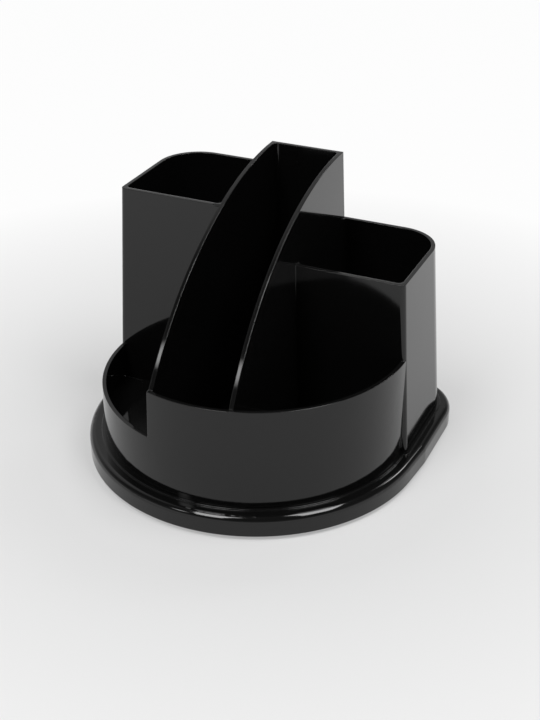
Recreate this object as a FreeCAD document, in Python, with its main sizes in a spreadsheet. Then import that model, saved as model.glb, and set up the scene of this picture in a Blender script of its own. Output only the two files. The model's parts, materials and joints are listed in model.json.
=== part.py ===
# Rotating desk organizer: pen towers, trays and a slot in one moulding, with two drawers, on a turntable.
# Millimetres, +Z up. The origin is on the turning axis, on the desk.
import FreeCAD, Part
import math
import os
import Sketcher
from FreeCAD import Placement, Rotation, Vector

doc = FreeCAD.newDocument("desk_organizer")
sheet = doc.addObject("Spreadsheet::Sheet", "sizes")

# Driving sizes, in millimetres, degrees and counts
DRIVING = {
    # outer form of the body, given at the foot of its walls
    "round_radius": 71.4,
    "tower_proud": 2.1,
    "tower_depth": 62.8,
    "tower_front_corner": 2.0,
    "tower_rear_corner": 19.7,
    "side_draft": 3.5,
    "back_draft": 3.0,
    "round_draft": 1.0,
    "channel_draft": 1.5,
    "channel_top_half_width": 17.7,
    "arch_radius": 142.0,
    # heights above the desk
    "foot_height": 11.7,
    "channel_height": 126.8,
    "left_tower_drop": 10.6,
    "right_tower_drop": 32.4,
    "high_rim_height": 58.4,
    "low_rim_height": 35.9,
    "tray_floor_height": 17.5,
    # walls of the body
    "wall": 1.8,
    "floor_thickness": 2.0,
    "inner_corner": 2.4,
    # drawer bays
    "corner_width": 21.8,
    "bay_height": 26.0,
    "bay_opening_height": 23.6,
    "bay_rib": 1.8,
    # drawers
    "drawer_side_gap": 0.4,
    "drawer_lift": 0.3,
    "drawer_wall": 1.5,
    "drawer_front": 2.2,
    "drawer_side_height": 19.5,
    "drawer_travel": 40.0,
    "stop_tab_length": 3.0,
    "stop_tab_height": 5.2,
    "stop_gap": 0.3,
    "pull_width": 18.0,
    "pull_reach": 3.2,
    "pull_thickness": 2.4,
    "pull_drop": 5.0,
    "pull_corner": 1.4,
    # base plate
    "flange_reach": 7.0,
    "flange_side_reach": 6.1,
    "flange_blend_angle": 5.0,
    "flange_bottom": 1.9,
    "flange_top": 11.0,
    "flange_shoulder": 2.8,
    "bead_reach": 1.3,
    "deck_thickness": 2.2,
    "skirt": 2.2,
    "rib_thickness": 1.6,
    "rib_drop": 4.6,
    "rib_count": 10,
    # ball race
    "race_radius": 40.0,
    "race_half_width": 4.0,
    "ball_radius": 2.0,
    "ball_clearance": 0.05,
    "ball_count": 12,
    "cage_half_width": 2.8,
    "cage_thickness": 1.2,
    "cage_clearance": 0.15,
    "race_depth": 0.6,
    # stand
    "foot_radius": 5.0,
    "foot_thickness": 2.0,
    "foot_clearance": 0.1,
    "foot_recess": 0.8,
    "foot_chamfer": 0.6,
    "foot_start_angle": 45.0,
    "foot_circle": 46.5,
    "foot_count": 4,
    "disc_radius": 54.0,
    "disc_thickness": 2.0,
    "disc_lip": 1.0,
    "disc_lip_width": 1.6,
    "dish_radius": 15.0,
    "dish_slope": 4.0,
    "dish_rise": 1.8,
    # pivot
    "hub_radius": 6.0,
    "hub_clearance": 0.05,
    "pivot_play": 0.1,
    "pivot_screw_radius": 1.5,
    "pivot_head_radius": 3.6,
    "pivot_head_height": 1.4,
    "pivot_pilot_depth": 5.5,
    "washer_radius": 9.0,
    "washer_thickness": 0.6,
    # screws between base plate and body
    "front_screw_x": 38.0,
    "front_screw_y": -36.0,
    "rear_screw_inset_x": 11.2,
    "rear_screw_inset_y": 17.0,
    "screw_radius": 1.2,
    "screw_head_radius": 2.6,
    "screw_head_height": 1.5,
    "screw_hole_clearance": 0.3,
    "thread_clearance": 0.02,
    "boss_radius": 3.2,
    "pilot_depth": 5.1,
    "screw_tip_gap": 0.8,
    "socket_half_width": 0.4,
    "socket_depth": 0.7,
    # how far a cutting outline runs past what it cuts
    "overrun": 5.0,
}
for row, (name, value) in enumerate(DRIVING.items(), start=1):
    sheet.set(f"A{row}", name)
    sheet.set(f"B{row}", str(value))
    sheet.setAlias(f"B{row}", name)
doc.recompute()


class Size:
    """A size worked out from the sheet: its value, and the expression that keeps it tied to the sheet."""

    def __init__(self, value, text):
        self.value = value
        self.text = text

    def __add__(self, other):
        return Size(self.value + other.value, f"({self.text} + {other.text})")

    def __sub__(self, other):
        return Size(self.value - other.value, f"({self.text} - {other.text})")

    def __neg__(self):
        return Size(-self.value, f"(-{self.text})")

    def __mul__(self, other):
        if isinstance(other, Size):
            return Size(self.value * other.value, f"({self.text} * {other.text})")
        return Size(self.value * other, f"({self.text} * {other})")

    def __truediv__(self, other):
        if isinstance(other, Size):
            return Size(self.value / other.value, f"({self.text} / {other.text})")
        return Size(self.value / other, f"({self.text} / {other})")

    def tan(self):
        return Size(math.tan(math.radians(self.value)), f"tan({self.text} * 1 deg)")


class Sizes:
    """Gives each cell of the sheet by its alias."""

    def __getattr__(self, name):
        return Size(float(sheet.get(name)), f"sizes.{name}")


S = Sizes()
ZERO = Size(0.0, "0")
FULL_TURN = 360
TOUCHING = S.overrun.value / 1000


def leg(long_side, short_side):
    """The third side of a right triangle, from its long side and one short side."""
    value = math.sqrt(long_side.value ** 2 - short_side.value ** 2)
    return Size(value, f"sqrt({long_side.text} * {long_side.text} - {short_side.text} * {short_side.text})")


def on_circle(radius, angle):
    """A place on a circle about the turning axis, at an angle in degrees."""
    turn = f"{angle.text} * 1 deg"
    along = Size(math.cos(math.radians(angle.value)), f"cos({turn})")
    across = Size(math.sin(math.radians(angle.value)), f"sin({turn})")
    return (radius * along, radius * across)


# Places that follow from the driving sizes
side_slope = S.side_draft.tan()
back_slope = S.back_draft.tan()
round_slope = S.round_draft.tan()
channel_slope = S.channel_draft.tan()
half_width = S.round_radius + S.tower_proud
round_y = (S.round_radius + S.flange_reach - S.tower_depth - S.flange_side_reach) / 2
tower_front = round_y
tower_back = tower_front + S.tower_depth
channel_rise = S.channel_height - S.foot_height
high_rise = S.high_rim_height - S.foot_height
left_tower_height = S.channel_height - S.left_tower_drop
right_tower_height = S.channel_height - S.right_tower_drop
channel_foot_half_width = S.channel_top_half_width + channel_rise * channel_slope
deck_top = S.foot_height
deck_bottom = deck_top - S.deck_thickness
bay_top = S.foot_height + S.bay_height
cup_floor = bay_top + S.floor_thickness
disc_bottom = S.foot_thickness - S.foot_recess
disc_top = disc_bottom + S.disc_thickness
ball_path = S.ball_radius + S.ball_clearance
ball_height = disc_top - S.race_depth + ball_path
race_bottom = ball_height + ball_path - S.race_depth
dish_bottom = disc_bottom + S.dish_rise
hub_end = dish_bottom - S.pivot_play
washer_bottom = hub_end - S.washer_thickness
head_bottom = washer_bottom - S.pivot_head_height
bay_start = channel_foot_half_width
bay_end = half_width - S.corner_width
bay_width = bay_end - bay_start
bay_front = tower_front + S.wall
bay_back = tower_back - S.wall - S.bay_height * back_slope
bay_side = half_width - S.wall - S.bay_height * side_slope
centre = (ZERO, ZERO)
screw_places = [
    (-S.front_screw_x, S.front_screw_y),
    (S.front_screw_x, S.front_screw_y),
    (S.rear_screw_inset_x - half_width, tower_back - S.rear_screw_inset_y),
    (half_width - S.rear_screw_inset_x, tower_back - S.rear_screw_inset_y),
]
beyond_side = half_width + S.overrun
beyond_front = round_y - S.round_radius - S.overrun
beyond_back = tower_back + S.overrun
above_all = S.channel_height + S.overrun


def side_wall(height):
    """How far the outside of a tower's side is from the middle at a height above the desk."""
    return half_width - (height - S.foot_height) * side_slope


def back_wall(height):
    """Where the outside of the back wall is at a height above the desk."""
    return tower_back - (height - S.foot_height) * back_slope


def round_wall(height):
    """Radius of the round wall's outside at a height above the desk."""
    return S.round_radius - (height - S.foot_height) * round_slope


def channel_side(height):
    """Half the width of the centre channel at a height above the desk."""
    return S.channel_top_half_width + (S.channel_height - height) * channel_slope


def body_named(label):
    """A new empty body whose label names its file."""
    body = doc.addObject("PartDesign::Body", label)
    body.Label = label
    return body


def plane_of(body, role):
    """One of the body's own origin planes, or an axis, found by its role."""
    return next(item for item in body.Origin.OriginFeatures if item.Role == role)


def new_sketch(body, name, role, offset=ZERO, shift=ZERO):
    """A sketch on one of the body's origin planes, moved along its normal by offset and across by shift."""
    sketch = body.newObject("Sketcher::SketchObject", name)
    sketch.AttachmentSupport = [(plane_of(body, role), "")]
    sketch.MapMode = "FlatFace"
    sketch.AttachmentOffset = Placement(Vector(shift.value, 0, offset.value), Rotation())
    sketch.setExpression("AttachmentOffset.Base.x", shift.text)
    sketch.setExpression("AttachmentOffset.Base.z", offset.text)
    return sketch


def fix(sketch, kind, geometry, point, size):
    """Ties one coordinate of a point of the sketch to a size."""
    index = sketch.addConstraint(Sketcher.Constraint(kind, geometry, point, size.value))
    sketch.setExpression(f"Constraints[{index}]", size.text)


def turned(points):
    """Twice the signed area of a closed polygon: positive where it runs anticlockwise."""
    pairs = zip(points, points[1:] + points[:1])
    return sum(a[0].value * b[1].value - b[0].value * a[1].value for a, b in pairs)


def rounded(corners):
    """Turns a polygon's corners (x, y) and square corners to round (x, y, radius) into lines and arcs."""
    flat = [corner[:2] for corner in corners]
    clockwise = turned(flat) < 0
    steps = []
    for index, corner in enumerate(corners):
        if len(corner) == 2:
            steps.append((corner, None))
            continue
        x, y, radius = corner
        ends = []
        shift = [ZERO, ZERO]
        for neighbour in (corners[index - 1], corners[(index + 1) % len(corners)]):
            along_x = abs(neighbour[0].value - x.value) > abs(neighbour[1].value - y.value)
            axis = 0 if along_x else 1
            forward = neighbour[axis].value > corner[axis].value
            step = radius if forward else -radius
            shift[axis] = step
            ends.append((x + step, y) if along_x else (x, y + step))
        centre = (x + shift[0], y + shift[1])
        steps.append((ends[0], (centre, clockwise)))
        steps.append((ends[1], None))
    return steps


def outline(sketch, steps):
    """Draws a closed outline of points, each with the arc that leaves it (centre and sense) or None."""
    joints = []
    count = len(steps)
    for index, (start, arc) in enumerate(steps):
        end = steps[(index + 1) % count][0]
        a = Vector(start[0].value, start[1].value, 0)
        b = Vector(end[0].value, end[1].value, 0)
        if arc is None:
            geometry = sketch.addGeometry(Part.LineSegment(a, b), False)
            joints.append((geometry, 1, 2, False))
            continue
        centre, clockwise = arc
        c = Vector(centre[0].value, centre[1].value, 0)
        first, last = (b, a) if clockwise else (a, b)
        circle = Part.Circle(c, Vector(0, 0, 1), (a - c).Length)
        begins, ends = (math.atan2(point.y - c.y, point.x - c.x) for point in (first, last))
        curve = Part.ArcOfCircle(circle, begins, ends)
        geometry = sketch.addGeometry(curve, False)
        joints.append((geometry, 2, 1, True) if clockwise else (geometry, 1, 2, True))
        fix(sketch, "DistanceX", geometry, 3, centre[0])
        fix(sketch, "DistanceY", geometry, 3, centre[1])
    for index, (start, arc) in enumerate(steps):
        geometry, begin, _, _ = joints[index]
        before, _, finish, after_arc = joints[index - 1]
        sketch.addConstraint(Sketcher.Constraint("Coincident", before, finish, geometry, begin))
        if not after_arc:
            fix(sketch, "DistanceX", geometry, begin, start[0])
            fix(sketch, "DistanceY", geometry, begin, start[1])
            continue
        centre = steps[index - 1][1][0]
        across = abs(start[0].value - centre[0].value) > abs(start[1].value - centre[1].value)
        if across:
            fix(sketch, "DistanceY", geometry, begin, start[1])
        else:
            fix(sketch, "DistanceX", geometry, begin, start[0])
    return sketch


def polygon(body, name, role, corners, offset=ZERO, shift=ZERO):
    """A sketch of a polygon, with some of its square corners rounded."""
    return outline(new_sketch(body, name, role, offset, shift), rounded(corners))


def polygon_pair(body, name, role, corners_of, offset):
    """A sketch of two polygons, one for each side of the organizer: corners_of takes the side, 1 or -1."""
    sketch = new_sketch(body, name, role, offset)
    for side in (-1, 1):
        outline(sketch, rounded(corners_of(side)))
    return sketch


def circles(body, name, role, places, radii, offset=ZERO):
    """A sketch of circles: each place gets one of every radius, so two radii make a ring."""
    sketch = new_sketch(body, name, role, offset)
    for place in places:
        middle = Vector(place[0].value, place[1].value, 0)
        for radius in radii:
            circle = sketch.addGeometry(Part.Circle(middle, Vector(0, 0, 1), radius.value), False)
            fix(sketch, "DistanceX", circle, 3, place[0])
            fix(sketch, "DistanceY", circle, 3, place[1])
            index = sketch.addConstraint(Sketcher.Constraint("Radius", circle, radius.value))
            sketch.setExpression(f"Constraints[{index}]", radius.text)
    return sketch


def settle(body, feature):
    """Recomputes, and stops with the feature's name where its shape failed."""
    doc.recompute()
    if "Invalid" in feature.State or feature.Shape.isNull() or not feature.Shape.isValid():
        raise RuntimeError(f"{body.Label}: {feature.Label} failed: {feature.getStatusString()}")
    return feature


def extruded(kind, body, name, sketch, length, down=False, both_ways=False, taper=None):
    """A pad or a pocket of a sketch by a length of the sheet."""
    feature = body.newObject(f"PartDesign::{kind}", name)
    feature.Profile = (sketch, [])
    feature.Length = length.value
    feature.setExpression("Length", length.text)
    feature.Reversed = down
    if both_ways:
        feature.SideType = "Symmetric"
    if taper is not None:
        feature.TaperAngle = taper.value
        feature.setExpression("TaperAngle", taper.text)
    return settle(body, feature)


def pad(body, name, sketch, length, **options):
    """Adds material along the sketch's normal, or against it where down is set."""
    return extruded("Pad", body, name, sketch, length, **options)


def pocket(body, name, sketch, length, **options):
    """Cuts against the sketch's normal, or along it where down is set, and has to remove something."""
    before = body.Shape.Volume
    feature = extruded("Pocket", body, name, sketch, length, **options)
    if not body.Shape.Volume < before:
        raise RuntimeError(f"{name} cuts nothing")
    return feature


def revolved(kind, body, name, sketch):
    """A full turn of a sketch about its own upright axis."""
    feature = body.newObject(f"PartDesign::{kind}", name)
    feature.Profile = (sketch, [])
    feature.ReferenceAxis = (sketch, ["V_Axis"])
    return settle(body, feature)


def lofted(kind, body, name, low, high):
    """A straight-sided form between two sketches, one above the other."""
    feature = body.newObject(f"PartDesign::{kind}Loft", name)
    feature.Profile = low
    feature.Sections = [high]
    feature.Ruled = True
    return settle(body, feature)


def repeated(body, name, feature, count):
    """Copies of a feature, evenly spaced round the upright axis."""
    pattern = body.newObject("PartDesign::PolarPattern", name)
    pattern.Originals = [feature]
    pattern.Axis = (plane_of(body, "Z_Axis"), [""])
    pattern.Occurrences = round(count.value)
    pattern.setExpression("Occurrences", count.text)
    body.Tip = pattern
    return settle(body, pattern)


def edges_at(shape, height):
    """Names of a shape's edges that lie flat at a height above the desk."""
    names = []
    for index, edge in enumerate(shape.Edges, start=1):
        off = max(abs(z - height.value) for z in (edge.BoundBox.ZMin, edge.BoundBox.ZMax))
        if off < TOUCHING:
            names.append(f"Edge{index}")
    return names


def finished_edges(kind, measure, body, name, height, size):
    """Finishes the body's flat edges at a height: measure names the feature's own size."""
    base = body.Tip
    feature = body.newObject(f"PartDesign::{kind}", name)
    feature.Base = (base, edges_at(base.Shape, height))
    feature.setExpression(measure, size.text)
    return settle(body, feature)


def rounded_edges(body, name, height, radius):
    """Rounds the body's flat edges at a height."""
    return finished_edges("Fillet", "Radius", body, name, height, radius)


def chamfered_edges(body, name, height, size):
    """Chamfers the body's flat edges at a height."""
    return finished_edges("Chamfer", "Size", body, name, height, size)


# Body shell: outer form
shell = body_named("body_shell")


def tower_plan(height):
    """The towers' common plan at a height: sides and back lean in going up, the front is upright."""
    side, back = side_wall(height), back_wall(height)
    return [
        (-side, tower_front, S.tower_front_corner),
        (side, tower_front, S.tower_front_corner),
        (side, back, S.tower_rear_corner),
        (-side, back, S.tower_rear_corner),
    ]


def beside_channel(name, side, height, top):
    """The region beside the channel above a height, from the front: side is 1 right, -1 left."""
    return polygon(
        shell,
        name,
        "XZ_Plane",
        [
            (channel_side(height) * side, height),
            (channel_side(top) * side, top),
            (beyond_side * side, top),
            (beyond_side * side, height),
        ],
    )


def round_front_plan(body, name, radius, height):
    """Plan of the round front: an arc about the round wall's centre and a chord behind the towers' front."""
    chord = tower_front + S.tower_front_corner * 2
    half = leg(radius, chord - round_y)
    steps = [((half, chord), ((ZERO, round_y), True)), ((-half, chord), None)]
    return outline(new_sketch(body, name, "XY_Plane", height), steps)


round_foot = round_front_plan(shell, "round_foot", S.round_radius, S.foot_height)
pad(shell, "round_front", round_foot, high_rise, taper=-S.round_draft)
full_depth = (S.round_radius + S.tower_depth) * 2
left_low = beside_channel("above_low_rim", -1, S.low_rim_height, S.high_rim_height + S.overrun)
pocket(shell, "low_rim_cut", left_low, full_depth, both_ways=True)

tower_foot = polygon(shell, "tower_foot", "XY_Plane", tower_plan(S.foot_height), S.foot_height)
tower_top = polygon(shell, "tower_top", "XY_Plane", tower_plan(S.channel_height), S.channel_height)
lofted("Additive", shell, "towers", tower_foot, tower_top)

# The centre channel runs from the rim of the round wall to the towers, with leaning sides.
channel_front = round_y - leg(round_wall(S.high_rim_height), channel_side(S.high_rim_height))
channel_section = polygon(
    shell,
    "channel_section",
    "XZ_Plane",
    [
        (-channel_side(S.low_rim_height), S.low_rim_height),
        (channel_side(S.low_rim_height), S.low_rim_height),
        (S.channel_top_half_width, S.channel_height),
        (-S.channel_top_half_width, S.channel_height),
    ],
    -channel_front - S.wall / 2,
)
pad(shell, "channel", channel_section, tower_front - channel_front, down=True)

# All above the arch is cut away. It starts at the inside of the high rim and ends at the towers' back.
arch_front = round_y - leg(round_wall(S.high_rim_height) - S.wall, channel_side(S.high_rim_height))
arch_start = (arch_front, S.high_rim_height)
arch_end = (back_wall(S.channel_height), S.channel_height)


def arch_centre():
    """Centre of the arch, from its two ends and its radius, as values and as expressions."""
    across = arch_end[0] - arch_start[0]
    up = arch_end[1] - arch_start[1]
    chord_squared = across * across + up * up
    middle = ((arch_start[0] + arch_end[0]) / 2, (arch_start[1] + arch_end[1]) / 2)
    height = math.sqrt(S.arch_radius.value ** 2 - chord_squared.value / 4)
    chord = math.sqrt(chord_squared.value)
    chord_text = f"sqrt{chord_squared.text}"
    height_text = f"sqrt({S.arch_radius.text} * {S.arch_radius.text} - {chord_squared.text} / 4)"
    share = Size(height / chord, f"({height_text} / {chord_text})")
    return (middle[0] + up * share, middle[1] - across * share)


arch = outline(
    new_sketch(shell, "arch", "YZ_Plane"),
    [
        (arch_start, (arch_centre(), True)),
        (arch_end, None),
        ((beyond_back, S.channel_height), None),
        ((beyond_back, above_all), None),
        ((beyond_front, above_all), None),
        ((beyond_front, S.high_rim_height), None),
    ],
)
pocket(shell, "arch_cut", arch, channel_foot_half_width * 2, both_ways=True)


right_top = beside_channel("above_right_tower", 1, right_tower_height, above_all)
pocket(shell, "right_tower_cut", right_top, full_depth, both_ways=True)
left_top = beside_channel("above_left_tower", -1, left_tower_height, above_all)
pocket(shell, "left_tower_cut", left_top, full_depth, both_ways=True)


# Body shell: compartments, open at the top, whose insides run parallel to the walls
def compartment(name, plan, top, bottom):
    """A room between two heights, whose outline at each height is plan(height)."""
    before = shell.Shape.Volume
    floor = outline(new_sketch(shell, f"{name}_floor", "XY_Plane", bottom), plan(bottom))
    rim = outline(new_sketch(shell, f"{name}_rim", "XY_Plane", top), plan(top))
    lofted("Subtractive", shell, name, floor, rim)
    if not shell.Shape.Volume < before:
        raise RuntimeError(f"{name} cuts nothing")


def quarter_round(side, height):
    """The room between the channel, the towers' front and the round wall's inside."""
    inner, near = round_wall(height) - S.wall, channel_side(height)
    arc = ((ZERO, round_y), side < 0)
    return [
        ((near * side, tower_front), None),
        ((near * side, round_y - leg(inner, near)), arc),
        ((inner * side, tower_front), None),
    ]


def tower_room(side, height):
    """The room inside a pen tower."""
    near, far = channel_side(height) * side, (side_wall(height) - S.wall) * side
    front, back = tower_front + S.wall, back_wall(height) - S.wall
    corners = [
        (near, front, S.inner_corner),
        (far, front, S.inner_corner),
        (far, back, S.tower_rear_corner - S.wall),
        (near, back, S.inner_corner),
    ]
    return rounded(corners)


def slot_room(height):
    """The room inside the channel, round at the front like the wall in front of it."""
    side, back = channel_side(height) - S.wall, back_wall(height) - S.wall
    front = round_y - leg(round_wall(height) - S.wall, side)
    corner_side, corner_back = side - S.inner_corner, back - S.inner_corner
    return [
        ((-side, front), ((ZERO, round_y), False)),
        ((side, front), None),
        ((side, corner_back), ((corner_side, corner_back), False)),
        ((corner_side, back), None),
        ((-corner_side, back), ((-corner_side, corner_back), False)),
        ((-side, corner_back), None),
    ]


compartment("left_tray", lambda height: quarter_round(-1, height), S.low_rim_height, S.tray_floor_height)
compartment("right_tray", lambda height: quarter_round(1, height), S.high_rim_height, S.tray_floor_height)
compartment("left_cup", lambda height: tower_room(-1, height), left_tower_height, cup_floor)
compartment("right_cup", lambda height: tower_room(1, height), right_tower_height, cup_floor)
# The slot runs right through the moulding: the base plate's deck is its floor.
compartment("slot", slot_room, S.channel_height, S.foot_height)

under_tray = S.tray_floor_height - S.floor_thickness - S.foot_height
under_plan = new_sketch(shell, "under_trays_plan", "XY_Plane", S.foot_height)
for side in (-1, 1):
    outline(under_plan, quarter_round(side, S.foot_height))
pocket(shell, "under_trays", under_plan, under_tray, down=True)


# Body shell: under each pen tower, a drawer bay with its mouth in the back, and a hollow beside it
def bay_room(side):
    """Plan of a drawer bay."""
    near, far = bay_start * side, bay_end * side
    return [(near, bay_front), (far, bay_front), (far, bay_back), (near, bay_back)]


def bay_mouth(side):
    """The bay's opening in the back wall, seen from the front."""
    near, far = bay_start * side, bay_end * side
    top = S.foot_height + S.bay_opening_height
    return [(near, S.foot_height), (far, S.foot_height), (far, top), (near, top)]


def corner_hollow(side):
    """Plan of the hollow between the bay and the outer wall."""
    near, far = (bay_end + S.bay_rib) * side, bay_side * side
    corner = S.tower_rear_corner - S.wall * 3
    return [(near, bay_front), (far, bay_front, S.inner_corner), (far, bay_back, corner), (near, bay_back)]


bays = polygon_pair(shell, "bays_plan", "XY_Plane", bay_room, S.foot_height)
pocket(shell, "bays", bays, S.bay_height, down=True)
mouths = polygon_pair(shell, "bay_mouths_plan", "XZ_Plane", bay_mouth, -bay_back)
pocket(shell, "bay_mouths", mouths, beyond_back - bay_back)
hollows = polygon_pair(shell, "corner_hollows_plan", "XY_Plane", corner_hollow, S.foot_height)
pocket(shell, "corner_hollows", hollows, S.bay_height, down=True)

# Body shell: bosses for the screws that hold the base plate
boss_groups = [("front", screw_places[:2], under_tray), ("rear", screw_places[2:], S.bay_height)]
for name, places, height in boss_groups:
    bosses = circles(shell, f"{name}_bosses_plan", "XY_Plane", places, [S.boss_radius], S.foot_height)
    pad(shell, f"{name}_bosses", bosses, height)
pilots = circles(shell, "pilots_plan", "XY_Plane", screw_places, [S.screw_radius], S.foot_height)
pocket(shell, "pilots", pilots, S.pilot_depth, down=True)

# Base plate: a hollow moulding with a rounded flange, and a bead at the foot of the walls
base = body_named("base_plate")


def flange_outline(round_reach, side_reach):
    """The walls' plan grown by two reaches: the round front runs on in tangents to the wider sides."""
    radius = S.round_radius + round_reach
    side, back = half_width + side_reach, tower_back + side_reach
    corner = S.tower_rear_corner + side_reach
    across, forward = on_circle(radius, S.flange_blend_angle)
    round_end = round_y - forward
    side_start = round_end + (side - across) / S.flange_blend_angle.tan()
    corners = [(side, side_start), (side, back, corner), (-side, back, corner), (-side, side_start)]
    front = [((-across, round_end), ((ZERO, round_y), False)), ((across, round_end), None)]
    return rounded(corners) + front


flange_plan = outline(
    new_sketch(base, "flange_plan", "XY_Plane", S.flange_bottom),
    flange_outline(S.flange_reach, S.flange_side_reach),
)
pad(base, "flange", flange_plan, S.flange_top - S.flange_bottom)
rounded_edges(base, "flange_shoulder", S.flange_top, S.flange_shoulder)
bead_side, bead_back = half_width + S.bead_reach, tower_back + S.bead_reach
bead_corners = [
    (-bead_side, tower_front - S.bead_reach, S.tower_front_corner),
    (bead_side, tower_front - S.bead_reach, S.tower_front_corner),
    (bead_side, bead_back, S.tower_rear_corner + S.bead_reach),
    (-bead_side, bead_back, S.tower_rear_corner + S.bead_reach),
]
bead_sketch = polygon(base, "bead_plan", "XY_Plane", bead_corners, S.flange_top)
pad(base, "bead_block", bead_sketch, deck_top - S.flange_top)
bead_round = round_front_plan(base, "bead_round_plan", S.round_radius + S.bead_reach, S.flange_top)
pad(base, "bead_round", bead_round, deck_top - S.flange_top)
hollow_plan = outline(
    new_sketch(base, "hollow_plan", "XY_Plane", S.flange_bottom),
    flange_outline(S.flange_reach - S.skirt, S.flange_side_reach - S.skirt),
)
pocket(base, "hollow", hollow_plan, deck_bottom - S.flange_bottom, down=True)

# Base plate: the race, the hub and the ribs under the deck
race_inner = S.race_radius - S.race_half_width
race_outer = S.race_radius + S.race_half_width
race_ring = circles(base, "race_plan", "XY_Plane", [centre], [race_outer, race_inner], race_bottom)
pad(base, "race_ring", race_ring, deck_bottom - race_bottom)


def race_groove(body, name):
    """The groove that the balls run in, one half in the disc and the other in the base plate."""
    sketch = circles(body, f"{name}_section", "XZ_Plane", [(S.race_radius, ball_height)], [ball_path])
    return revolved("Groove", body, name, sketch)


race_groove(base, "upper_race")
hub = circles(base, "hub_plan", "XY_Plane", [centre], [S.hub_radius], hub_end)
pad(base, "hub", hub, deck_bottom - hub_end)
pivot_pilot = circles(base, "pivot_pilot_plan", "XY_Plane", [centre], [S.pivot_screw_radius], hub_end)
pocket(base, "pivot_pilot", pivot_pilot, S.pivot_pilot_depth, down=True)
hole_radius = S.screw_radius + S.screw_hole_clearance
screw_holes = circles(base, "screw_holes_plan", "XY_Plane", screw_places, [hole_radius], deck_bottom)
pocket(base, "screw_holes", screw_holes, S.deck_thickness, down=True)
half_rib = S.rib_thickness / 2
rib_start = race_outer - half_rib
rib_end = tower_back + S.flange_side_reach - half_rib
rib_plan = [(rib_start, -half_rib), (rib_end, -half_rib), (rib_end, half_rib), (rib_start, half_rib)]
rib = pad(base, "rib", polygon(base, "rib_plan", "XY_Plane", rib_plan, deck_bottom - S.rib_drop), S.rib_drop)
repeated(base, "ribs", rib, S.rib_count)

# Turntable disc: a flat disc with a raised middle, a race groove, a stiffening lip and recesses for the feet
disc = body_named("turntable_disc")
bore = S.hub_radius + S.hub_clearance
slope_end = S.dish_radius + S.dish_slope
lip_start = S.disc_radius - S.disc_lip_width
disc_section = [
    (bore, dish_bottom),
    (S.dish_radius, dish_bottom),
    (slope_end, disc_bottom),
    (S.disc_radius, disc_bottom),
    (S.disc_radius, disc_top + S.disc_lip),
    (lip_start, disc_top + S.disc_lip),
    (lip_start, disc_top),
    (slope_end, disc_top),
    (S.dish_radius, dish_bottom + S.disc_thickness),
    (bore, dish_bottom + S.disc_thickness),
]
revolved("Revolution", disc, "disc", polygon(disc, "disc_section", "XZ_Plane", disc_section))
race_groove(disc, "lower_race")


def share_of_turn(index, count):
    """The angle in degrees of one of a number of places, evenly spaced round a full turn."""
    return Size(FULL_TURN * index / count.value, f"({FULL_TURN} * {index} / {count.text})")


first_foot = on_circle(S.foot_circle, S.foot_start_angle)
recess_radius = S.foot_radius + S.foot_clearance
recess_plan = circles(disc, "foot_recess_plan", "XY_Plane", [first_foot], [recess_radius], disc_bottom)
recess = pocket(disc, "foot_recess", recess_plan, S.foot_recess, down=True)
repeated(disc, "foot_recesses", recess, S.foot_count)

feet = []
for index in range(round(S.foot_count.value)):
    foot = body_named(f"foot_{index + 1}")
    place = on_circle(S.foot_circle, S.foot_start_angle + share_of_turn(index, S.foot_count))
    plan = circles(foot, "plan", "XY_Plane", [place], [S.foot_radius])
    pad(foot, "pad", plan, S.foot_thickness)
    chamfered_edges(foot, "chamfer", ZERO, S.foot_chamfer)
    feet.append(foot)

# Ball cage and balls
cage = body_named("ball_cage")
cage_bottom = ball_height - S.cage_thickness / 2
cage_rims = [S.race_radius + S.cage_half_width, S.race_radius - S.cage_half_width]
cage_plan = circles(cage, "cage_plan", "XY_Plane", [centre], cage_rims, cage_bottom)
pad(cage, "ring", cage_plan, S.cage_thickness)
seat_radius = S.ball_radius + S.cage_clearance
seat_plan = circles(cage, "seat_plan", "XY_Plane", [(S.race_radius, ZERO)], [seat_radius], cage_bottom)
seat = pocket(cage, "seat", seat_plan, S.cage_thickness, down=True)
repeated(cage, "seats", seat, S.ball_count)

balls = []
for index in range(round(S.ball_count.value)):
    ball = doc.addObject("Part::Sphere", f"ball_{index + 1}")
    ball.Radius = S.ball_radius.value
    ball.setExpression("Radius", S.ball_radius.text)
    x, y = on_circle(S.race_radius, share_of_turn(index, S.ball_count))
    ball.setExpression("Placement.Base.x", x.text)
    ball.setExpression("Placement.Base.y", y.text)
    ball.setExpression("Placement.Base.z", ball_height.text)
    balls.append(ball)
bearing_balls = doc.addObject("Part::Compound", "bearing_balls")
bearing_balls.Links = balls

# Pivot screw and washer under the middle of the disc
washer = body_named("pivot_washer")
washer_hole = S.pivot_screw_radius + S.screw_hole_clearance
washer_plan = circles(washer, "plan", "XY_Plane", [centre], [S.washer_radius, washer_hole], washer_bottom)
pad(washer, "washer", washer_plan, S.washer_thickness)


def screw(label, place, seat_height, head, head_height, shank, length):
    """A screw that points up: its head hangs under seat_height, and its shank reaches length above it."""
    body = body_named(label)
    section = [
        (ZERO, seat_height - head_height),
        (head - head_height / 2, seat_height - head_height),
        (head, seat_height - head_height / 2),
        (head, seat_height),
        (shank, seat_height),
        (shank, seat_height + length),
        (ZERO, seat_height + length),
    ]
    sketch = polygon(body, "section", "XZ_Plane", section, -place[1], place[0])
    revolved("Revolution", body, "turned", sketch)
    for name, half_x, half_y in (
        ("slot_across", head / 2, S.socket_half_width),
        ("slot_along", S.socket_half_width, head / 2),
    ):
        corners = [
            (place[0] - half_x, place[1] - half_y),
            (place[0] + half_x, place[1] - half_y),
            (place[0] + half_x, place[1] + half_y),
            (place[0] - half_x, place[1] + half_y),
        ]
        plan = polygon(body, f"{name}_plan", "XY_Plane", corners, seat_height - head_height)
        pocket(body, name, plan, S.socket_depth, down=True)
    return body


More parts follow.
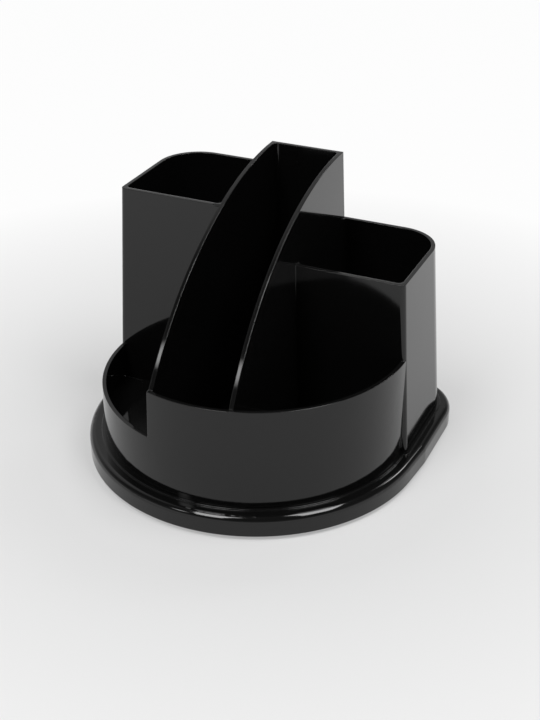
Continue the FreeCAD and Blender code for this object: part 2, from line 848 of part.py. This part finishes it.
pivot_screw = screw(
    "pivot_screw",
    centre,
    washer_bottom,
    S.pivot_head_radius,
    S.pivot_head_height,
    S.pivot_screw_radius - S.thread_clearance,
    S.washer_thickness + S.pivot_pilot_depth - S.screw_tip_gap,
)
screws = [
    screw(
        f"body_screw_{index + 1}",
        place,
        deck_bottom,
        S.screw_head_radius,
        S.screw_head_height,
        S.screw_radius - S.thread_clearance,
        S.deck_thickness + S.pilot_depth - S.screw_tip_gap,
    )
    for index, place in enumerate(screw_places)
]
body_screws = doc.addObject("Part::Compound", "body_screws")
body_screws.Links = screws


# Drawers: open boxes whose fronts close flush with the leaning back of the body
def drawer(label, side):
    """One drawer, closed, with a pull on its front and two tabs that stop it at the lintel."""
    body = body_named(label)
    low = S.foot_height + S.drawer_lift
    side_top = low + S.drawer_side_height
    front_top = S.foot_height + S.bay_opening_height - S.drawer_side_gap
    inner_end = bay_front + S.drawer_side_gap
    front_inside = back_wall(front_top) - S.drawer_front
    half = bay_width / 2 - S.drawer_side_gap
    middle = (bay_start + bay_width / 2) * side
    profile = [
        (inner_end, low),
        (back_wall(low), low),
        (back_wall(front_top), front_top),
        (front_inside, front_top),
        (front_inside, side_top),
        (inner_end, side_top),
    ]
    profile_sketch = polygon(body, "profile", "YZ_Plane", profile, middle)
    pad(body, "block", profile_sketch, half * 2, both_ways=True)
    inside = half - S.drawer_wall
    room = [
        (middle - inside, inner_end + S.drawer_wall, S.inner_corner),
        (middle + inside, inner_end + S.drawer_wall, S.inner_corner),
        (middle + inside, front_inside, S.inner_corner),
        (middle - inside, front_inside, S.inner_corner),
    ]
    room_sketch = polygon(body, "room_plan", "XY_Plane", room, side_top)
    pocket(body, "room", room_sketch, S.drawer_side_height - S.drawer_wall)
    tab_end = bay_back - S.drawer_travel - S.stop_gap
    for name, wall_side in (("left_stop", -1), ("right_stop", 1)):
        tab = [
            (middle + half * wall_side, tab_end - S.stop_tab_length),
            (middle + inside * wall_side, tab_end - S.stop_tab_length),
            (middle + inside * wall_side, tab_end),
            (middle + half * wall_side, tab_end),
        ]
        pad(body, name, polygon(body, f"{name}_plan", "XY_Plane", tab, side_top), S.stop_tab_height)
    pull_top = front_top - S.pull_drop
    pull_end = back_wall(pull_top) + S.pull_reach
    pull = [
        (middle - S.pull_width / 2, front_inside + S.drawer_front / 2),
        (middle + S.pull_width / 2, front_inside + S.drawer_front / 2),
        (middle + S.pull_width / 2, pull_end, S.pull_corner),
        (middle - S.pull_width / 2, pull_end, S.pull_corner),
    ]
    pull_sketch = polygon(body, "pull_plan", "XY_Plane", pull, pull_top - S.pull_thickness)
    pad(body, "pull", pull_sketch, S.pull_thickness)
    return body


left_drawer = drawer("left_drawer", -1)
right_drawer = drawer("right_drawer", 1)

# Every object of the document is checked, and then each piece is written under its own name
doc.recompute()
turntable = [disc, *feet, cage, bearing_balls, washer, pivot_screw]
pieces = [shell, base, body_screws, left_drawer, right_drawer, *turntable]
failed = [item.Label for item in doc.Objects if "Invalid" in item.State or "Error" in item.State]
if failed:
    raise RuntimeError(f"these objects failed: {failed}")
os.makedirs("parts", exist_ok=True)
for piece in pieces:
    if piece.Shape.isNull() or not piece.Shape.isValid():
        raise RuntimeError(f"{piece.Label} has no valid shape")
    piece.Shape.exportStep(f"parts/{piece.Label}.step")
    box = piece.Shape.BoundBox
    size = [round(length, 1) for length in (box.XLength, box.YLength, box.ZLength)]
    print(piece.Label, len(piece.Shape.Solids), "solids, volume", round(piece.Shape.Volume), "size", size)
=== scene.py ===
# %% [markdown]
# # A rotating desk organizer in glossy black plastic
# The real object is one large polystyrene moulding with pen towers, trays and a slot, standing on a
# moulded base that turns on a ball race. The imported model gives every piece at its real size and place,
# so this file only gives the pieces their finish, and sets up the studio and the camera round them.
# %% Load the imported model
import json
import math

import bpy
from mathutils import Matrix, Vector

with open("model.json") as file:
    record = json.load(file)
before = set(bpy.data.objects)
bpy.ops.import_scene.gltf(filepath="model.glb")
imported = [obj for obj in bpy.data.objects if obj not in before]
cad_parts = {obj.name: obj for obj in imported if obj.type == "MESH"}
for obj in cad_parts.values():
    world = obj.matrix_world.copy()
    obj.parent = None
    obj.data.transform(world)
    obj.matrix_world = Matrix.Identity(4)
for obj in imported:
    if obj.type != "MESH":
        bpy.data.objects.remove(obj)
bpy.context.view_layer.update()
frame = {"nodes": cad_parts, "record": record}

MM = 0.001

# %% [markdown]
# ## Helpers for materials
# A finish is a small graph of nodes. It could be clicked together by hand, but written down it can be read
# and changed. One function adds a node with its settings and its inputs, so that a graph reads from top to
# bottom. Colours are chosen as sRGB hex values, the way a colour picker shows them, and turned to the
# linear values that the shaders work in by one function.
# %% Helpers for materials


def linear(hex_colour):
    """An sRGB hex colour such as 1a1a1a as linear red, green, blue and alpha."""
    channels = [int(hex_colour[i:i + 2], 16) / 255 for i in (0, 2, 4)]
    return [c / 12.92 if c <= 0.04045 else ((c + 0.055) / 1.055) ** 2.4 for c in channels] + [1.0]


def add(tree, kind, settings=None, inputs=None):
    """Adds a node: settings are its properties, inputs its sockets' values or other nodes' outputs."""
    made = tree.nodes.new(kind)
    for name, value in (settings or {}).items():
        setattr(made, name, value)
    for name, value in (inputs or {}).items():
        if isinstance(value, bpy.types.NodeSocket):
            tree.links.new(value, made.inputs[name])
        else:
            made.inputs[name].default_value = value
    return made


def new_material(name):
    """An empty material with its output, and a place node whose Object output is in metres on the piece."""
    made = bpy.data.materials.new(name)
    made.use_nodes = True
    tree = made.node_tree
    tree.nodes.clear()
    output = add(tree, "ShaderNodeOutputMaterial")
    place = add(tree, "ShaderNodeTexCoord")
    return made, tree, output, place.outputs["Object"]


def per_metre(size_mm):
    """The scale of a pattern whose features are size_mm across, for coordinates in metres."""
    return 1 / (size_mm * MM)


def from_to(before, after):
    """The limits of a Map Range node that runs over after while its value runs over before."""
    return {"From Min": before[0], "From Max": before[1], "To Min": after[0], "To Max": after[1]}


print("a pattern of 2 mm has the scale", per_metre(2))

# %% [markdown]
# ## Glossy black polystyrene: its shape at small scale
# Desk organizers like this are injection moulded in high-gloss styrene plastic. A polished mould leaves a
# mirror-like skin that isn't quite flat: it sinks a few hundredths of a millimetre over several
# centimetres, which bends long reflections a little, and it has a very fine waviness.
# No moulded edge is knife sharp either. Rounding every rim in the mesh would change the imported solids, so
# the rounding of 0.4 mm is made in the finish: the bevel node gives the normal that a rounded edge would
# have. That is what draws the thin bright line along every rim.
# %% Glossy black polystyrene: its shape at small scale
EDGE_RADIUS_MM = 0.4
EDGE_SAMPLES = 8
SINK_MM = 28
SINK_DEPTH_MM = 0.05
SKIN_MM = 1.6
SKIN_DEPTH_MM = 0.001


def rippled(tree, place, rounded):
    """The normal of the rounded edges with the sunken and finely wavy skin on top."""
    normal = rounded
    for size_mm, detail, strength, depth_mm in (
        (SINK_MM, 1.0, 0.55, SINK_DEPTH_MM),
        (SKIN_MM, 2.0, 0.25, SKIN_DEPTH_MM),
    ):
        waves = add(
            tree,
            "ShaderNodeTexNoise",
            {},
            {"Vector": place, "Scale": per_metre(size_mm), "Detail": detail},
        )
        bump = add(
            tree,
            "ShaderNodeBump",
            {},
            {
                "Height": waves.outputs["Fac"],
                "Strength": strength,
                "Distance": depth_mm * MM,
                "Normal": normal,
            },
        )
        normal = bump.outputs["Normal"]
    return normal


print("edges rounded by", EDGE_RADIUS_MM, "mm, hollows", SINK_MM, "mm apart")

# %% [markdown]
# ## Glossy black polystyrene: patches from handling
# One roughness all over would look like a drawing of plastic. In use, hands leave patches a few centimetres
# wide that are slightly rougher. They could be painted by hand, but a noise pattern of their size puts them
# on every side of every piece.
# %% Glossy black polystyrene: patches from handling
POLISHED = 0.04
HANDLED = 0.1
HANDLED_MM = 35
MIDDLE_OF_NOISE = (0.35, 0.75)


def handled_patches(tree, place):
    """The roughness of the polished skin with duller patches, over the middle of the noise's values."""
    handling = add(
        tree,
        "ShaderNodeTexNoise",
        {},
        {"Vector": place, "Scale": per_metre(HANDLED_MM), "Detail": 3.0},
    )
    patches = add(
        tree,
        "ShaderNodeMapRange",
        {},
        {"Value": handling.outputs["Fac"], **from_to(MIDDLE_OF_NOISE, (POLISHED, HANDLED))},
    )
    return patches.outputs["Result"]


print("roughness from", POLISHED, "to", HANDLED, "in patches of", HANDLED_MM, "mm")

# %% [markdown]
# ## Glossy black polystyrene: hairlines from wiping
# A cloth leaves fine hairlines that run in about one direction. They could be drawn one by one, but a noise
# pattern that is stretched along one direction turns into streaks too. Only its highest crests count, so
# that the hairlines stay apart. The turn, in radians about x, y and z, keeps them off the directions of the
# walls.
# %% Glossy black polystyrene: hairlines from wiping
SCRATCHED = 0.05
HAIRLINE_MM = 0.3
HAIRLINE_LENGTH_MM = 26
WIPE_TURN = (0.5, 0.3, 0.8)
CRESTS_OF_NOISE = (0.66, 0.74)


def hairlines(tree, place):
    """What the hairlines add to the roughness."""
    along = add(
        tree,
        "ShaderNodeMapping",
        {},
        {
            "Vector": place,
            "Rotation": WIPE_TURN,
            "Scale": (per_metre(HAIRLINE_MM), per_metre(HAIRLINE_LENGTH_MM), per_metre(HAIRLINE_MM)),
        },
    )
    wiping = add(
        tree,
        "ShaderNodeTexNoise",
        {},
        {"Vector": along.outputs["Vector"], "Scale": 1.0, "Detail": 1.0},
    )
    scratches = add(
        tree,
        "ShaderNodeMapRange",
        {},
        {"Value": wiping.outputs["Fac"], **from_to(CRESTS_OF_NOISE, (0.0, SCRATCHED))},
    )
    return scratches.outputs["Result"]


print("hairlines", HAIRLINE_MM, "mm wide and", HAIRLINE_LENGTH_MM, "mm long")

# %% [markdown]
# ## Glossy black polystyrene: rubbed edges
# Edges are rubbed a little duller than faces. They are found with the bevel node's normal: on a face it is
# the flat normal, and near an edge it turns away from it, so the dot product of the two tells them apart.
# %% Glossy black polystyrene: rubbed edges
RUBBED = 0.06
LIKENESS_ON_EDGE = 0.8
LIKENESS_ON_FACE = 0.995


def rubbed_edges(tree, rounded):
    """What the rubbed edges add to the roughness."""
    flat = add(tree, "ShaderNodeNewGeometry")
    likeness = add(
        tree,
        "ShaderNodeVectorMath",
        {"operation": "DOT_PRODUCT"},
        {0: rounded, 1: flat.outputs["Normal"]},
    )
    edges = add(
        tree,
        "ShaderNodeMapRange",
        {},
        {
            "Value": likeness.outputs["Value"],
            **from_to((LIKENESS_ON_EDGE, LIKENESS_ON_FACE), (RUBBED, 0.0)),
        },
    )
    return edges.outputs["Result"]


print("edges rougher by", RUBBED)

# %% [markdown]
# ## Glossy black polystyrene: its colour
# The colour goes all the way through the plastic. It is so dark that almost nothing comes from the diffuse
# part, and the eye sees reflections. Dust shows as faint brighter specks. Such a piece nearly always has a
# few, so a cell pattern fills the space round it, and there is a speck where the surface happens to pass
# through the middle of a cell.
# Polystyrene's index of refraction is 1.59. Here it is 1.46, because a higher one makes the walls mirror
# more of the white floor, and they would be lighter still than in the photograph.
# %% Glossy black polystyrene: its colour
BLACK = "0b0b0b"
DUST = "303030"
DUST_SPACING_MM = 7
DUST_CORE_MM = 0.084
DUST_EDGE_MM = 0.21
GLOSS_IOR = 1.46


def dusty_black(tree, place):
    """The plastic's black with specks of dust."""
    cells = add(
        tree,
        "ShaderNodeTexVoronoi",
        {},
        {"Vector": place, "Scale": per_metre(DUST_SPACING_MM), "Randomness": 1.0},
    )
    speck_edges = (DUST_CORE_MM / DUST_SPACING_MM, DUST_EDGE_MM / DUST_SPACING_MM)
    specks = add(
        tree,
        "ShaderNodeMapRange",
        {},
        {"Value": cells.outputs["Distance"], **from_to(speck_edges, (1.0, 0.0))},
    )
    colour = add(
        tree,
        "ShaderNodeMix",
        {"data_type": "RGBA"},
        {"Factor": specks.outputs["Result"], "A": linear(BLACK), "B": linear(DUST)},
    )
    return colour.outputs[2]


print("black in linear light", round(linear(BLACK)[0], 4), "dust", round(linear(DUST)[0], 4))

# %% [markdown]
# ## Glossy black polystyrene: all together
# The body, the base plate and the drawers are one plastic, so they share one material. The patches, the
# hairlines and the rubbed edges are added up to one roughness.
# %% Glossy black polystyrene: all together


def glossy_black():
    """The finish of the body, the base plate and the drawers."""
    made, tree, output, place = new_material("moulded_polystyrene_high_gloss")
    bevel = add(tree, "ShaderNodeBevel", {"samples": EDGE_SAMPLES}, {"Radius": EDGE_RADIUS_MM * MM})
    rounded = bevel.outputs["Normal"]
    roughness = handled_patches(tree, place)
    for wear in (hairlines(tree, place), rubbed_edges(tree, rounded)):
        roughness = add(tree, "ShaderNodeMath", {"operation": "ADD"}, {0: roughness, 1: wear}).outputs[0]
    plastic = add(
        tree,
        "ShaderNodeBsdfPrincipled",
        {},
        {
            "Base Color": dusty_black(tree, place),
            "Roughness": roughness,
            "IOR": GLOSS_IOR,
            "Normal": rippled(tree, place, rounded),
        },
    )
    tree.links.new(plastic.outputs["BSDF"], output.inputs["Surface"])
    return made


gloss = glossy_black()
print(gloss.name, len(gloss.node_tree.nodes), "nodes")

# %% [markdown]
# ## The stand's and the cage's finishes
# The disc is polypropylene from a spark-eroded mould, which leaves a fine grain that scatters light. The
# ball cage is natural acetal, milky and satin. The feet are moulded rubber, dark grey with a dry sheen.
# All three are moulded surfaces with a grain, so one function makes them: two near colours that drift like
# clouds, and a grain of a real size as bump.
# %% The stand's and the cage's finishes
CLOUD_MM = 9
GRAIN_STRENGTH = 0.6


def grained(name, dark, light, grain_mm, grain_depth_mm, roughness, ior):
    """A moulded plastic or rubber surface: two near colours, and a grain of a real size as bump."""
    made, tree, output, place = new_material(name)
    cloud = add(
        tree,
        "ShaderNodeTexNoise",
        {},
        {"Vector": place, "Scale": per_metre(CLOUD_MM), "Detail": 4.0},
    )
    colour = add(
        tree,
        "ShaderNodeMix",
        {"data_type": "RGBA"},
        {"Factor": cloud.outputs["Fac"], "A": linear(dark), "B": linear(light)},
    )
    grain = add(
        tree,
        "ShaderNodeTexNoise",
        {},
        {"Vector": place, "Scale": per_metre(grain_mm), "Detail": 3.0},
    )
    bump = add(
        tree,
        "ShaderNodeBump",
        {},
        {"Height": grain.outputs["Fac"], "Strength": GRAIN_STRENGTH, "Distance": grain_depth_mm * MM},
    )
    surface = add(
        tree,
        "ShaderNodeBsdfPrincipled",
        {},
        {
            "Base Color": colour.outputs[2],
            "Roughness": roughness,
            "IOR": ior,
            "Normal": bump.outputs["Normal"],
        },
    )
    tree.links.new(surface.outputs["BSDF"], output.inputs["Surface"])
    return made


polypropylene = grained(
    "moulded_polypropylene_matte",
    dark="161617",
    light="202022",
    grain_mm=0.35,
    grain_depth_mm=0.02,
    roughness=0.5,
    ior=1.49,
)
acetal = grained(
    "acetal_satin",
    dark="d9d6cb",
    light="e6e3da",
    grain_mm=0.5,
    grain_depth_mm=0.01,
    roughness=0.35,
    ior=1.48,
)
rubber = grained(
    "moulded_rubber",
    dark="141414",
    light="1f1f1f",
    grain_mm=0.25,
    grain_depth_mm=0.03,
    roughness=0.75,
    ior=1.52,
)
print("grained finishes", [material.name for material in (polypropylene, acetal, rubber)])

# %% [markdown]
# ## The metals
# The balls are ground bearing steel, nearly a mirror. The screws and the washer are bright zinc plate,
# which is duller and slightly uneven. A metal's look is all in its reflection, so its colour and its
# roughness drift together over small patches, and it keeps the default index of refraction.
# %% The metals


def bright_metal(name, dark, light, smooth, rough, patch_mm):
    """Plated or polished steel, with patches of a real size from dark and smooth to light and rough."""
    made, tree, output, place = new_material(name)
    patch = add(
        tree,
        "ShaderNodeTexNoise",
        {},
        {"Vector": place, "Scale": per_metre(patch_mm), "Detail": 4.0},
    )
    colour = add(
        tree,
        "ShaderNodeMix",
        {"data_type": "RGBA"},
        {"Factor": patch.outputs["Fac"], "A": linear(dark), "B": linear(light)},
    )
    # the noise stays near its middle, so the roughness runs over that part of it
    roughness = add(
        tree,
        "ShaderNodeMapRange",
        {},
        {"Value": patch.outputs["Fac"], **from_to((0.3, 0.7), (smooth, rough))},
    )
    metal = add(
        tree,
        "ShaderNodeBsdfPrincipled",
        {},
        {"Base Color": colour.outputs[2], "Metallic": 1.0, "Roughness": roughness.outputs["Result"]},
    )
    tree.links.new(metal.outputs["BSDF"], output.inputs["Surface"])
    return made


bearing_steel = bright_metal(
    "bearing_steel_ground",
    dark="b4b4b6",
    light="d2d2d3",
    smooth=0.04,
    rough=0.12,
    patch_mm=1.5,
)
zinc = bright_metal(
    "steel_bright_zinc",
    dark="a9acb0",
    light="c4c7cb",
    smooth=0.2,
    rough=0.38,
    patch_mm=0.8,
)
print("metals", [material.name for material in (bearing_steel, zinc)])

# %% [markdown]
# ## Which piece has which finish
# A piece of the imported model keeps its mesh, and gets its finish in its material slot. A table says which
# finish stands for which slot of the record, so a loop can hand them out.
# %% Which piece has which finish
finishes = {
    "gloss_black_polystyrene": gloss,
    "matte_black_polypropylene": polypropylene,
    "natural_acetal": acetal,
    "black_rubber": rubber,
    "polished_steel": bearing_steel,
    "zinc_plated_steel": zinc,
}
for entry in frame["record"]["subparts"]:
    node = frame["nodes"][entry["node"]]
    node.data.materials.clear()
    node.data.materials.append(finishes[entry["material_slot"]])
    print(entry["node"], "->", entry["material_slot"])

# %% [markdown]
# ## Camera
# The camera looks from the front and a little from the right, about thirty degrees down. Its place, its
# direction and its lens were fitted to the outlines in the photograph. It comes before the lamps, because
# black gloss shows only what surrounds it: each lamp is placed by where its reflection has to fall in this
# view, and those places are given as right of, towards and above the organizer, as the camera sees it.
# %% Camera
CAMERA_AZIMUTH = math.radians(24.13)
CAMERA_ELEVATION = math.radians(29.73)
CAMERA_PLACE_MM = (214.87, -460.51, 335.56)
LENS_MM = 64.374
SENSOR_MM = 36.0
toward_camera = Vector((math.sin(CAMERA_AZIMUTH), -math.cos(CAMERA_AZIMUTH), 0))
camera_right = Vector((math.cos(CAMERA_AZIMUTH), math.sin(CAMERA_AZIMUTH), 0))
up = Vector((0, 0, 1))

camera_data = bpy.data.cameras.new("camera")
camera_data.lens = LENS_MM
camera_data.sensor_width = SENSOR_MM
camera = bpy.data.objects.new("camera", camera_data)
camera.location = Vector(CAMERA_PLACE_MM) * MM
level = toward_camera * math.cos(CAMERA_ELEVATION)
camera.rotation_euler = (-(level + up * math.sin(CAMERA_ELEVATION))).to_track_quat("-Z", "Y").to_euler()
bpy.context.scene.collection.objects.link(camera)
bpy.context.scene.camera = camera
bpy.context.scene.view_settings.view_transform = "Standard"
print("camera at", [round(c, 3) for c in camera.location])


def seen_from_camera(right, forward, height):
    """A direction or distance given as right of, towards and above the organizer, as the camera sees."""
    return camera_right * right + toward_camera * forward + up * height


# %% [markdown]
# ## Floor
# A pale paper floor runs out in every direction. The upright walls mirror the paper next to them, so it
# makes them dark grey in front, and light grey at the sides, where the view grazes them. Near the organizer
# the lamps light the paper and the organizer shades it. Paper lit by the lamps alone would turn grey
# farther out. So there it glows by itself for the camera and for reflections, as it would with lamps of
# its own, and the background stays white. Diffuse rays don't see the glow, so the organizer gets nothing
# of it but what its gloss mirrors. Distances are in metres from the organizer's middle.
# %% Floor
FLOOR_REACH = 6.0
PAPER_DARK = "b6b6b6"
PAPER_LIGHT = "b9b9b9"
FIBRE_MM = 0.8
NEAR = 0.1
FAR = 0.32
# Near the organizer the paper still glows at this share. This is painted light that lightens the
# organizer's shadow on the paper.
GLOW_NEAR = 0.38
GLOW_FAR = 0.97

floor_mesh = bpy.data.meshes.new("studio_floor")
corners = [(-1, -1), (1, -1), (1, 1), (-1, 1)]
floor_mesh.from_pydata([(x * FLOOR_REACH, y * FLOOR_REACH, 0.0) for x, y in corners], [], [(0, 1, 2, 3)])
floor = bpy.data.objects.new("studio_floor", floor_mesh)
bpy.context.scene.collection.objects.link(floor)


def white_paper():
    """Matte fibrous paper that glows for the camera and for reflections, the more the farther out."""
    made, tree, output, place = new_material("white_paper")
    fibre = add(
        tree,
        "ShaderNodeTexNoise",
        {},
        {"Vector": place, "Scale": per_metre(FIBRE_MM), "Detail": 3.0},
    )
    colour = add(
        tree,
        "ShaderNodeMix",
        {"data_type": "RGBA"},
        {"Factor": fibre.outputs["Fac"], "A": linear(PAPER_DARK), "B": linear(PAPER_LIGHT)},
    )
    diffuse = add(tree, "ShaderNodeBsdfDiffuse", {}, {"Color": colour.outputs[2]})
    glowing = add(tree, "ShaderNodeEmission", {}, {"Color": linear("ffffff"), "Strength": 1.0})
    distance = add(tree, "ShaderNodeVectorMath", {"operation": "LENGTH"}, {0: place})
    outwards = add(
        tree,
        "ShaderNodeMapRange",
        {},
        {"Value": distance.outputs["Value"], **from_to((NEAR, FAR), (GLOW_NEAR, GLOW_FAR))},
    )
    path = add(tree, "ShaderNodeLightPath")
    seen = path.outputs["Is Camera Ray"]
    for other in ("Is Glossy Ray", "Is Transmission Ray"):
        either = add(tree, "ShaderNodeMath", {"operation": "MAXIMUM"}, {0: seen, 1: path.outputs[other]})
        seen = either.outputs[0]
    share = add(
        tree,
        "ShaderNodeMath",
        {"operation": "MULTIPLY"},
        {0: outwards.outputs["Result"], 1: seen},
    )
    surface = add(
        tree,
        "ShaderNodeMixShader",
        {},
        {0: share.outputs[0], 1: diffuse.outputs["BSDF"], 2: glowing.outputs["Emission"]},
    )
    tree.links.new(surface.outputs["Shader"], output.inputs["Surface"])
    return made


paper = white_paper()
floor_mesh.materials.append(paper)
print("floor reaches", FLOOR_REACH, "m, glow's share from", GLOW_NEAR, "to", GLOW_FAR)

# %% [markdown]
# ## World
# Above the floor the studio is dim, so the tops of the walls and of the base stay black. A plain grey world
# would leave the gloss without form, so soft round patches of light stand where the photograph's own
# reflections say that the light came from:
# - a pale backdrop behind the organizer;
# - a faint one high behind at the left, mirrored by the arches where they are nearly level;
# - a small bright one in front at the left, mirrored by the steep front ends of the arches;
# - a small bright one behind at the right, mirrored by the shoulder of the base.
#
# A narrow bright band just above the horizon joins the sky to the floor, so that a low view has no grey
# strip over the white paper. A height in the sky is the sine of its angle: 0.45 is 27 degrees up and 0.12
# is 7 degrees. A patch has its core and its edge in degrees, and a strength of 1 is white.
# %% World
AIR_AT_HORIZON = 0.42
AIR_OVERHEAD = 0.08
OVERHEAD_FROM = 0.45
BAND_AT_HORIZON = 0.5
BAND_TOP = 0.12
GLOWS = [
    {"towards": (-0.3, -1.0, 0.2), "core": 20, "edge": 60, "strength": 0.35},
    {"towards": (-0.5, -0.7, 1.0), "core": 10, "edge": 28, "strength": 0.3},
    {"towards": (-0.650, 0.455, 0.609), "core": 2, "edge": 5.5, "strength": 7.0},
    {"towards": (0.453, -0.559, 0.695), "core": 3, "edge": 7, "strength": 9.0},
]


def glow(tree, direction, towards, core, edge, strength):
    """A soft round patch of light: full within core degrees of its direction and gone at edge degrees."""
    middle_of_glow = seen_from_camera(*towards).normalized()
    closeness = add(
        tree,
        "ShaderNodeVectorMath",
        {"operation": "DOT_PRODUCT"},
        {0: direction, 1: tuple(middle_of_glow)},
    )
    rim_and_core = (math.cos(math.radians(edge)), math.cos(math.radians(core)))
    return add(
        tree,
        "ShaderNodeMapRange",
        {},
        {"Value": closeness.outputs["Value"], **from_to(rim_and_core, (0.0, strength))},
    )


world = bpy.data.worlds.new("studio")
bpy.context.scene.world = world
world.use_nodes = True
sky = world.node_tree
sky_direction = add(sky, "ShaderNodeTexCoord").outputs["Generated"]
sky_height = add(sky, "ShaderNodeSeparateXYZ", {}, {"Vector": sky_direction}).outputs["Z"]
dim_air = from_to((0.0, OVERHEAD_FROM), (AIR_AT_HORIZON, AIR_OVERHEAD))
band = from_to((0.0, BAND_TOP), (BAND_AT_HORIZON, 0.0))
parts = [
    add(sky, "ShaderNodeMapRange", {}, {"Value": sky_height, **dim_air}),
    *[glow(sky, sky_direction, **settings) for settings in GLOWS],
    add(sky, "ShaderNodeMapRange", {}, {"Value": sky_height, **band}),
]
total = parts[0].outputs["Result"]
for part in parts[1:]:
    both = add(sky, "ShaderNodeMath", {"operation": "ADD"}, {0: total, 1: part.outputs["Result"]})
    total = both.outputs[0]
sky.links.new(total, sky.nodes["Background"].inputs["Strength"])
sky.nodes["Background"].inputs["Color"].default_value = linear("ffffff")
print("world made of", len(parts), "parts")

# %% [markdown]
# ## Lamps
# Two long softboxes hang level a metre above the organizer, one at each side, and open towards the camera
# like a V. They light the paper, and they draw the two white streaks on the rounded shoulder of the base.
# Small lamps would leave points there, and one large one would fill the whole shoulder with white. Their
# places count from a point 5 cm above the desk. A lamp's radiance is what a mirror shows of it, so both get
# one radiance, and their power follows from their size.
# %% Lamps
MIDDLE_HEIGHT = 0.05
BOX_RADIANCE = 10.0
SOFTBOXES = {
    "right_softbox": {
        "place": (0.46, 0.20, 1.0),
        "long_side": (0.42, 0.91, 0),
        "length": 0.8,
        "width": 0.36,
    },
    "left_softbox": {
        "place": (-0.42, 0.50, 1.0),
        "long_side": (-0.45, 0.89, 0),
        "length": 0.9,
        "width": 0.34,
    },
}


def softbox(name, place, long_side, length, width):
    """A level rectangular lamp that shines down. Place and long side are given as the camera sees them."""
    data = bpy.data.lights.new(name, "AREA")
    data.shape = "RECTANGLE"
    data.size = length
    data.size_y = width
    data.energy = BOX_RADIANCE * math.pi * length * width
    lamp = bpy.data.objects.new(name, data)
    lamp.location = Vector((0, 0, MIDDLE_HEIGHT)) + seen_from_camera(*place)
    along = seen_from_camera(*long_side)
    lamp.rotation_euler = (0, 0, math.atan2(along.y, along.x))
    bpy.context.scene.collection.objects.link(lamp)
    return lamp


for name, settings in SOFTBOXES.items():
    lamp = softbox(name, **settings)
    print(lamp.name, "gives", round(lamp.data.energy, 2), "W")
